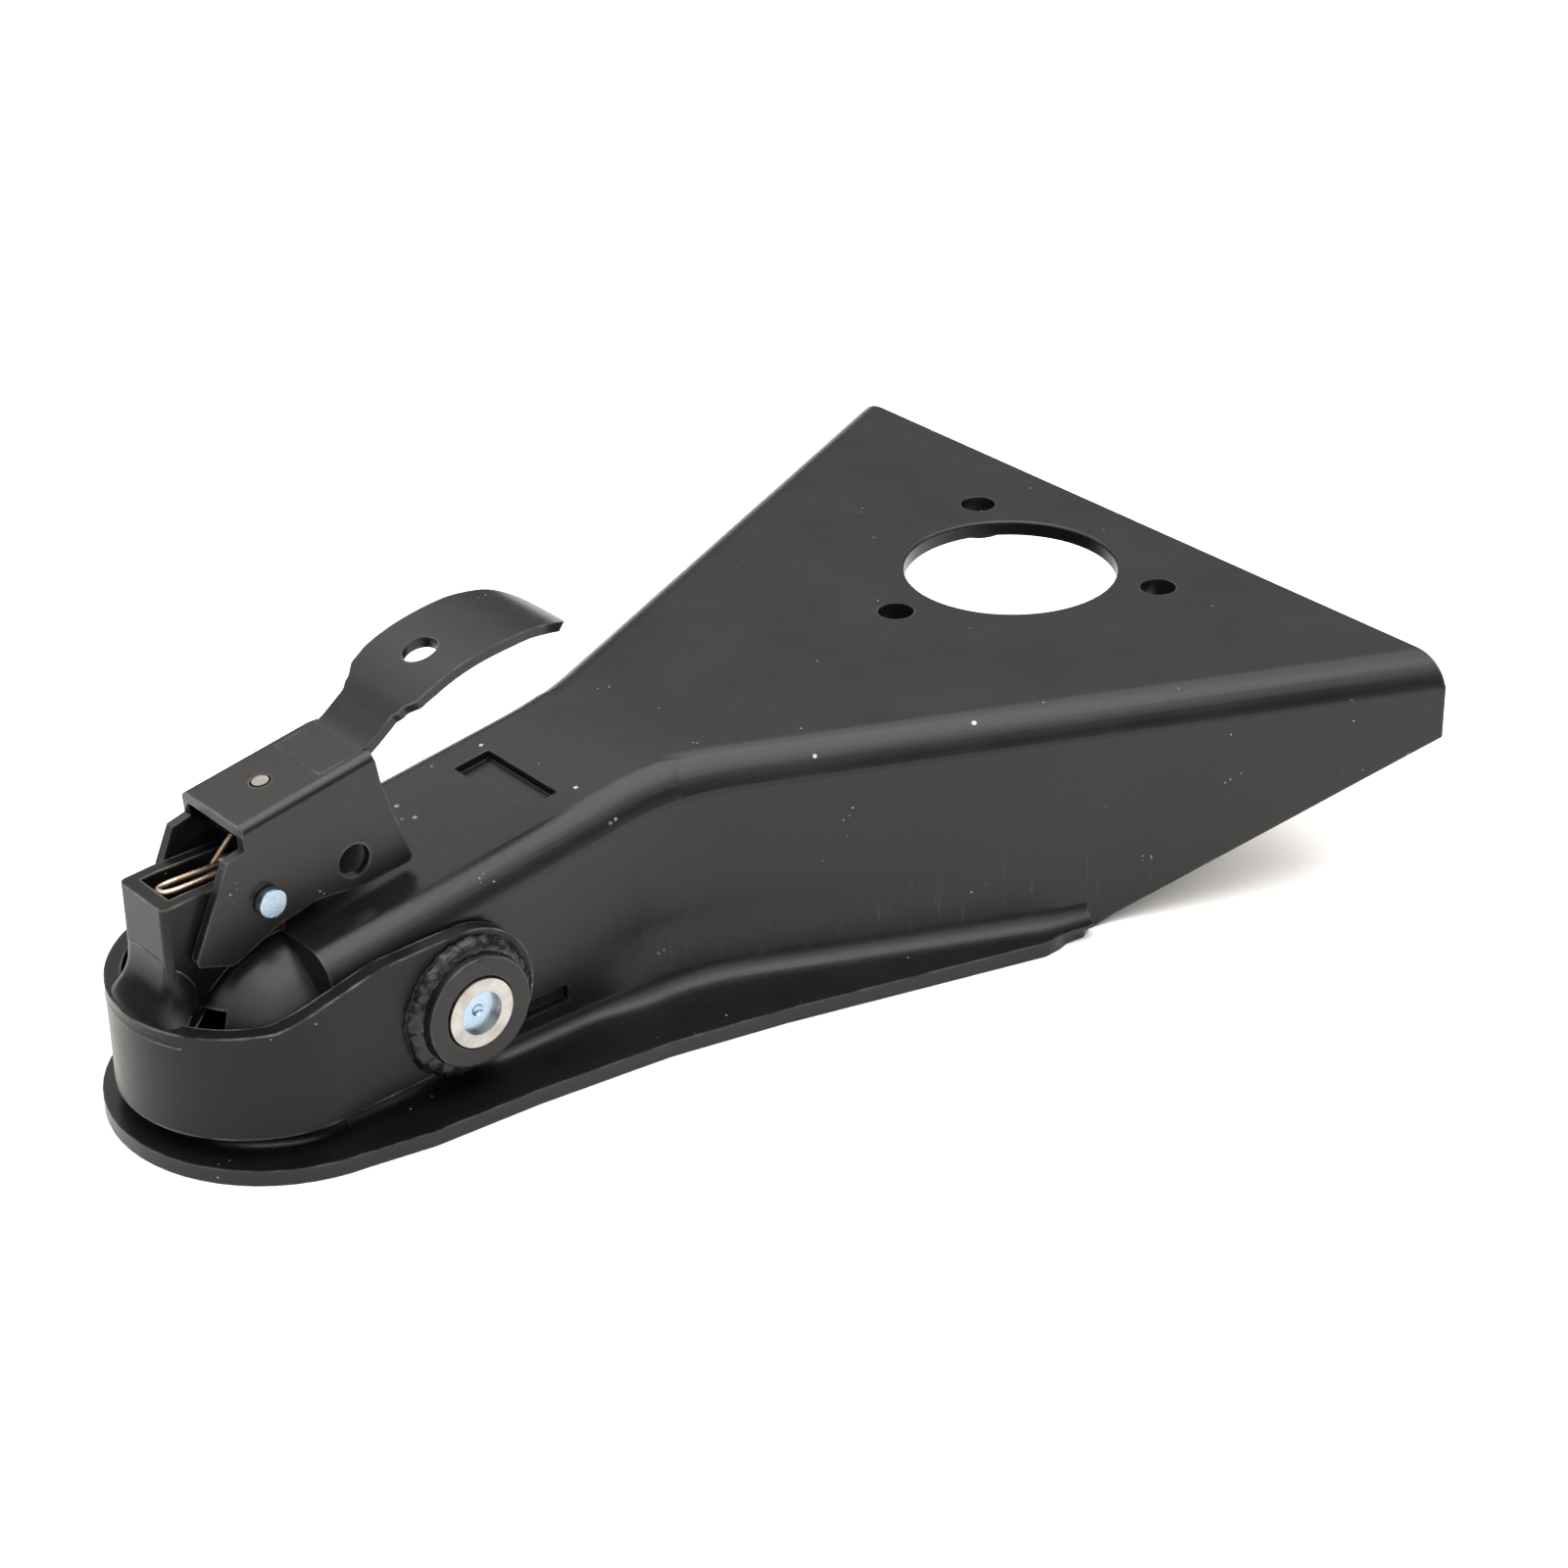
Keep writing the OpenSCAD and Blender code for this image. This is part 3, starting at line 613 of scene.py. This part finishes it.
def half_width(x):
    tip_start = HANDLE_END + HANDLE_TIP
    if x < tip_start:
        t = min((tip_start - x) / HANDLE_TIP, 1.0)
        return max(TIP_WIDEST * math.sqrt(1 - t * t), TIP_LEAST)
    for (x0, w0), (x1, w1) in zip(HANDLE_HALF_WIDTHS, HANDLE_HALF_WIDTHS[1:]):
        if x1 <= x <= x0:
            return w0 + (w1 - w0) * smooth_step(x0 - x, 0, x0 - x1)
    return HANDLE_HALF_WIDTHS[0][1]


def sheet_rows(shape, line, side):
    """Rows of vertices across the sheet on one of its two faces."""
    rows = []
    for k, point in enumerate(line):
        run = (line[min(k + 1, len(line) - 1)] - line[max(k - 1, 0)]).normalized()
        place = point + Vector((run.y, -run.x, 0)) * side * SHEET / 2
        wide = half_width(point.x)
        rows.append([
            shape.verts.new((PIN_X + place.x, (-1 + 2 * j / HANDLE_COLUMNS) * wide, PIN_Z + place.y))
            for j in range(HANDLE_COLUMNS + 1)
        ])
    return rows


def handle():
    line = catmull([(x, z, 0) for x, z in HANDLE_LINE], HANDLE_STEPS)
    shape = bmesh.new()
    top = sheet_rows(shape, line, 1)
    low = sheet_rows(shape, line, -1)
    for k in range(len(line) - 1):
        for j in range(HANDLE_COLUMNS):
            shape.faces.new((top[k][j], top[k + 1][j], top[k + 1][j + 1], top[k][j + 1]))
            shape.faces.new((low[k][j + 1], low[k + 1][j + 1], low[k + 1][j], low[k][j]))
        shape.faces.new((top[k + 1][0], top[k][0], low[k][0], low[k + 1][0]))
        shape.faces.new((top[k][-1], top[k + 1][-1], low[k + 1][-1], low[k][-1]))
    for j in range(HANDLE_COLUMNS):
        shape.faces.new((top[0][j], top[0][j + 1], low[0][j + 1], low[0][j]))
        shape.faces.new((top[-1][j + 1], top[-1][j], low[-1][j], low[-1][j + 1]))
    bmesh.ops.recalc_face_normals(shape, faces=shape.faces)
    piece = piece_from(shape, "lever_handle", "lever", PAINT_LEVER)
    cut_hole(piece, HANDLE_HOLE, HANDLE_HOLE_R)
    soften(piece, HANDLE_ROUND)


def cut_hole(piece, place, radius):
    """Cuts an upright round hole through a piece."""
    shape = bmesh.new()
    bmesh.ops.create_cone(shape, cap_ends=True, segments=40, radius1=radius, radius2=radius, depth=0.03)
    cutter = link(bpy.data.objects.new("cutter", mesh_from(shape, "cutter")))
    cutter.location = place
    boolean = piece.modifiers.new("hole", "BOOLEAN")
    boolean.object = cutter
    boolean.solver = "EXACT"
    bpy.context.view_layer.update()
    whole = piece.evaluated_get(bpy.context.evaluated_depsgraph_get())
    cut = bpy.data.meshes.new_from_object(whole)
    piece.modifiers.remove(boolean)
    piece.data = cut
    bpy.data.objects.remove(cutter)


# Yoke: the CAD shape with the tower's upright corners well rounded
BAND_X = 0.2825
BAND_OUT = 0.041
TOWER_FRONT = 0.315
TOWER_HALF = 0.0112
TOWER_ROUND = 0.003
YOKE_ROUND = 0.0009
FOOT_LOW, FOOT_HIGH = BASE_Z + 0.0385, BASE_Z + 0.0595


def on_tower_corner(at):
    return at.x > TOWER_FRONT - 2e-4 and abs(abs(at.y) - TOWER_HALF) < 2e-4 and at.z > FOOT_LOW


def yoke_shell():
    shape = copy_of("yoke")
    round_edges(shape, on_tower_corner, TOWER_ROUND, 6, along=ALONG_Z)
    piece = piece_from(shape, "yoke_shell", "yoke", PAINT_YOKE, "yoke")
    soften(piece, YOKE_ROUND)


# Foot of the tower: a drawn-in shoulder that runs from the band's outer face up into the tower's front
FOOT_SWEEP = math.radians(29)
FOOT_BACK = 0.005
FOOT_EDGE_DROP = 0.010
FOOT_PULL_LOW, FOOT_PULL_HIGH = 0.42, 0.62
FOOT_COLUMNS, FOOT_ROWS = 60, 16
# The foot stands this far off the tower and off the band, and its closed back lies inside of them
OFF_TOWER, OFF_BAND = 0.0001, 0.00015
FOOT_INSIDE = 0.003


def tower_edge(share):
    """A point just off the tower's outline in plan, from its right side over the front to its left side."""
    front = TOWER_HALF - TOWER_ROUND
    corner = TOWER_ROUND * math.pi / 2
    run = abs(share) * (front + corner + FOOT_BACK)
    side = math.copysign(1, share)
    off = TOWER_ROUND + OFF_TOWER
    middle_x = TOWER_FRONT - TOWER_ROUND
    if run < front:
        return middle_x + off, side * run
    turn = min((run - front) / TOWER_ROUND, math.pi / 2)
    back = max(run - front - corner, 0)
    return middle_x + off * math.cos(turn) - back, side * (front + off * math.sin(turn))


def bezier(a, b, c, d, t):
    return (1 - t) ** 3 * a + 3 * t * (1 - t) ** 2 * b + 3 * t * t * (1 - t) * c + t ** 3 * d


def foot_column(share):
    """One upright section of the foot: a hollow curve from the band to the tower, closed on the inside."""
    angle = share * FOOT_SWEEP
    radius = BAND_OUT + OFF_BAND
    low = Vector((BAND_X + radius * math.cos(angle), radius * math.sin(angle), FOOT_LOW))
    x, y = tower_edge(share)
    high = Vector((x, y, FOOT_HIGH - FOOT_EDGE_DROP * abs(share) ** 4))
    rise = high.z - low.z
    pull_low = low + ALONG_Z * rise * FOOT_PULL_LOW
    pull_high = high - ALONG_Z * rise * FOOT_PULL_HIGH
    curve = [bezier(low, pull_low, pull_high, high, j / FOOT_ROWS) for j in range(FOOT_ROWS + 1)]
    inside = [
        (high.x - FOOT_INSIDE, high.y * 0.78, high.z),
        (min(low.x, high.x) - FOOT_INSIDE - 0.0005, high.y * 0.75, FOOT_LOW + 0.001),
        (low.x - FOOT_INSIDE, low.y * 0.93, FOOT_LOW),
    ]
    return curve + inside


def tower_foot():
    shape = bmesh.new()
    grid = [
        [shape.verts.new(place) for place in foot_column(-1 + 2 * i / FOOT_COLUMNS)]
        for i in range(FOOT_COLUMNS + 1)
    ]
    around = len(grid[0])
    for here, there in zip(grid, grid[1:]):
        for j in range(around):
            k = (j + 1) % around
            shape.faces.new((here[j], there[j], there[k], here[k]))
    shape.faces.new(grid[0])
    shape.faces.new(list(reversed(grid[-1])))
    bmesh.ops.recalc_face_normals(shape, faces=shape.faces)
    piece = piece_from(shape, "tower_foot", "yoke", PAINT_YOKE)
    soften(piece)


# Weld beads: rough, in short runs, thicker at the low front
PIVOT_X, PIVOT_Z = 0.2404, -0.042
BOSS_R = 0.017
BEAD_AROUND, BEAD_PROFILE = 150, 12
BEAD_RUNS = 23
BEAD_THICK_AT = math.radians(-50)
BEAD_WIDE, BEAD_HIGH = 0.0028, 0.0030
# The bead's feet are sunk this far into the boss and the band
BEAD_IN_BOSS, BEAD_IN_BAND = 0.0004, 0.0003


def weld_bead(name, side):
    shape = bmesh.new()
    rows = []
    for k in range(BEAD_AROUND):
        angle = 2 * math.pi * k / BEAD_AROUND
        seed = Vector((math.cos(angle) * 3.1, math.sin(angle) * 3.1, side * 5))
        low_front = max(0.0, math.cos(angle - BEAD_THICK_AT))
        lump = 0.5 + 0.5 * noise.noise(seed * 1.3)
        ripple = 0.5 + 0.5 * math.sin(angle * BEAD_RUNS + 2 * lump)
        wide = BEAD_WIDE + 0.0012 * lump + 0.0016 * low_front ** 3 + 0.0003 * ripple
        high = BEAD_HIGH + 0.0008 * lump + 0.0004 * ripple
        row = []
        for j in range(BEAD_PROFILE + 1):
            t = j / BEAD_PROFILE * math.pi / 2
            rough = 1 + 0.14 * noise.noise(seed * 9 + ALONG_X * t * 3)
            r = BOSS_R - BEAD_IN_BOSS + (wide + BEAD_IN_BOSS) * math.cos(t) ** 0.8 * rough
            y = BAND_OUT - BEAD_IN_BAND + (high + BEAD_IN_BAND) * math.sin(t) ** 0.9 * rough
            row.append(shape.verts.new((
                PIVOT_X + r * math.cos(angle), side * y, PIVOT_Z + r * math.sin(angle),
            )))
        rows.append(row)
    for k in range(BEAD_AROUND):
        here, there = rows[k], rows[(k + 1) % BEAD_AROUND]
        for j in range(BEAD_PROFILE):
            shape.faces.new((here[j], there[j], there[j + 1], here[j + 1]))
        shape.faces.new((here[-1], there[-1], there[0], here[0]))
    bmesh.ops.recalc_face_normals(shape, faces=shape.faces)
    for face in shape.faces:
        face.smooth = True
    piece_from(shape, name + "_bead", "yoke", PAINT_WELD, name)


# Spring: the CAD wire as a smooth round wire, its points as offsets from the lever's pin
WIRE_R = 0.001
COIL_R = 0.0052
COIL_OUT, COIL_IN = 0.0060, 0.0018
COIL_FROM, COIL_SWEEP = 45, 675
COIL_STEPS = 60
# The front loop rests against the inside of the tower's front wall
TOWER_FRONT_T = 0.0046
TOWER_FROM_PIN = 0.030
LOOP_PLAY = 0.0004
LOOP_X = TOWER_FROM_PIN - TOWER_FRONT_T - WIRE_R - LOOP_PLAY


def spring_half():
    """One leg, one coil and half of the front loop."""
    leg = [(-0.015, COIL_OUT, 0.0224), (-0.006, COIL_OUT, 0.013)]
    coil = []
    for k in range(COIL_STEPS + 1):
        u = k / COIL_STEPS
        angle = math.radians(COIL_FROM - u * COIL_SWEEP)
        coil.append((COIL_R * math.cos(angle), COIL_OUT + u * (COIL_IN - COIL_OUT), COIL_R * math.sin(angle)))
    loop = [(LOOP_X * 0.5, COIL_IN + 0.0004, COIL_R), (LOOP_X - 0.004, COIL_IN + 0.0005, COIL_R),
            (LOOP_X - 0.001, COIL_IN - 0.0001, COIL_R), (LOOP_X, 0.0008, COIL_R)]
    return leg + coil + loop


def spring():
    half = spring_half()
    line = catmull(half + [(x, -y, z) for x, y, z in reversed(half)], 3)
    data = bpy.data.curves.new("spring_coil", "CURVE")
    data.dimensions = "3D"
    data.bevel_depth = WIRE_R
    data.bevel_resolution = 4
    data.use_fill_caps = True
    path = data.splines.new("POLY")
    path.points.add(len(line) - 1)
    for point, place in zip(path.points, line):
        point.co = (PIN_X + place.x, place.y, PIN_Z + place.z, 1)
    data.materials.append(WIRE)
    piece = link(bpy.data.objects.new("spring_coil", data))
    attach(piece, "yoke")
    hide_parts("torsion_spring")


channel_shell()
lever_shell()
handle()
for side_name, side_sign in (("left", 1), ("right", -1)):
    weld_bead("boss_weld_" + side_name, side_sign)
yoke_shell()
tower_foot()
spring()

# The other nodes keep their CAD shape, with their sharp edges rounded a little
REPLACED = ("channel", "yoke", "lever", "boss_weld_left", "boss_weld_right", "torsion_spring")
EDGE_ROUND = {
    "boss_left": 0.0013,
    "boss_right": 0.0013,
    "pivot_bushing_left": 0.0005,
    "pivot_bushing_right": 0.0005,
    "lever_pin": 0.0008,
    "lever_pin_cap": 0.0006,
    "rear_jaw_plate": 0.0005,
    "ball_jaw": 0.0005,
}

for node_name, node_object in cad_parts.items():
    if node_name not in REPLACED:
        soften(node_object, EDGE_ROUND.get(node_name, 0))

# Stage and light
FLOOR_REACH = 6.0
FLOOR_DROP = 0.0002
# Area lights: name, place, target, size, power
LIGHTS = (
    ("overhead", (0.1, 0.1, 1.3), (0.12, 0, -0.05), 1.4, 16),
    ("front_left", (0.9, 1.2, 0.6), (0.15, 0.05, -0.03), 0.9, 2.5),
)
# Brightness of the studio by the sine of the height: a base and the rises that come on top, (from, to, gain)
SKY_BASE = 0.12
SKY_STEPS = ((0.05, 0.48, 0.42), (0.48, 0.74, 2.1))
SKY_TINT = (1.0, 0.965, 0.915, 1)
WHITE = (1, 1, 1, 1)


def floor_material():
    m = Material("floor")
    m.shader.inputs["Base Color"].default_value = (0.93, 0.93, 0.93, 1)
    m.shader.inputs["Roughness"].default_value = 0.9
    m.shader.inputs["Specular IOR Level"].default_value = 0.1
    return m.material


def make_floor():
    mesh = bpy.data.meshes.new("floor")
    corners = [(-1, -1), (1, -1), (1, 1), (-1, 1)]
    mesh.from_pydata(
        [(x * FLOOR_REACH, y * FLOOR_REACH, BASE_Z - FLOOR_DROP) for x, y in corners], [], [(0, 1, 2, 3)],
    )
    mesh.materials.append(floor_material())
    floor = link(bpy.data.objects.new("floor", mesh))


def make_light(name, place, target, size, power):
    data = bpy.data.lights.new(name, "AREA")
    data.size = size
    data.energy = power
    light = link(bpy.data.objects.new(name, data))
    light.location = place
    light.rotation_mode = "QUATERNION"
    light.rotation_quaternion = (Vector(target) - Vector(place)).to_track_quat("-Z", "Y")


def make_world():
    """A studio that is darker near the horizon and brighter overhead, and plain white behind the object."""
    world = bpy.data.worlds.new("world")
    world.use_nodes = True
    n = Nodes(world.node_tree)
    height = n.height_of(n.node("ShaderNodeTexCoord").outputs["Generated"])
    strength = SKY_BASE
    for low, high, gain in SKY_STEPS:
        strength = n.maths("ADD", strength, n.map_range(height, low, high, 0.0, gain, "SMOOTHSTEP"))
    sky = n.tree.nodes["Background"]
    sky.inputs["Color"].default_value = SKY_TINT
    n.link(strength, sky.inputs["Strength"])
    white = n.node("ShaderNodeBackground")
    white.inputs["Color"].default_value = WHITE
    mix = n.node("ShaderNodeMixShader")
    n.link(n.node("ShaderNodeLightPath").outputs["Is Camera Ray"], mix.inputs["Fac"])
    n.link(sky.outputs["Background"], mix.inputs[1])
    n.link(white.outputs["Background"], mix.inputs[2])
    n.link(mix.outputs["Shader"], n.tree.nodes["World Output"].inputs["Surface"])
    bpy.context.scene.world = world


make_floor()
for light in LIGHTS:
    make_light(*light)
make_world()
bpy.context.scene.view_settings.view_transform = "Standard"
